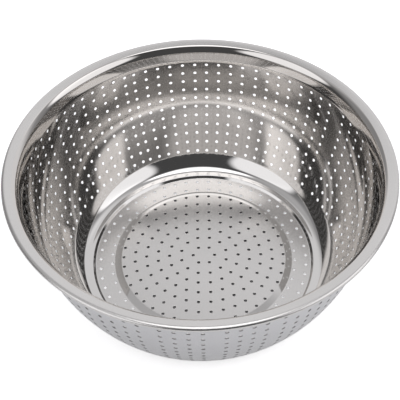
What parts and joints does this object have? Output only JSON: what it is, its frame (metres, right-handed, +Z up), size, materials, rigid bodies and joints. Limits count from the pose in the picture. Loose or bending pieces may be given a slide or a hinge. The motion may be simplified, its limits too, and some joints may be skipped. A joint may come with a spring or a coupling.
{
  "type": "colander",
  "caption": "Round pressed stainless steel colander with a punched wall and base, a pressed foot ring and a rolled, wired rim.",
  "frame": {"origin": "centre of the surface that the foot ring stands on", "axes": "+Z up along the bowl's axis; the half step of every ring of base holes lies on the Y axis"},
  "size_m": [0.3, 0.3, 0.1167],
  "materials": {
    "bowl_steel": "satin on the rim and base, polished on the collar and the lower corner, brushed on the wall",
    "wire_steel": "plain drawn wire"
  },
  "bodies": {
    "root": {"punched_bowl": "bowl_steel", "rim_wire": "wire_steel"}
  },
  "joints": []
}
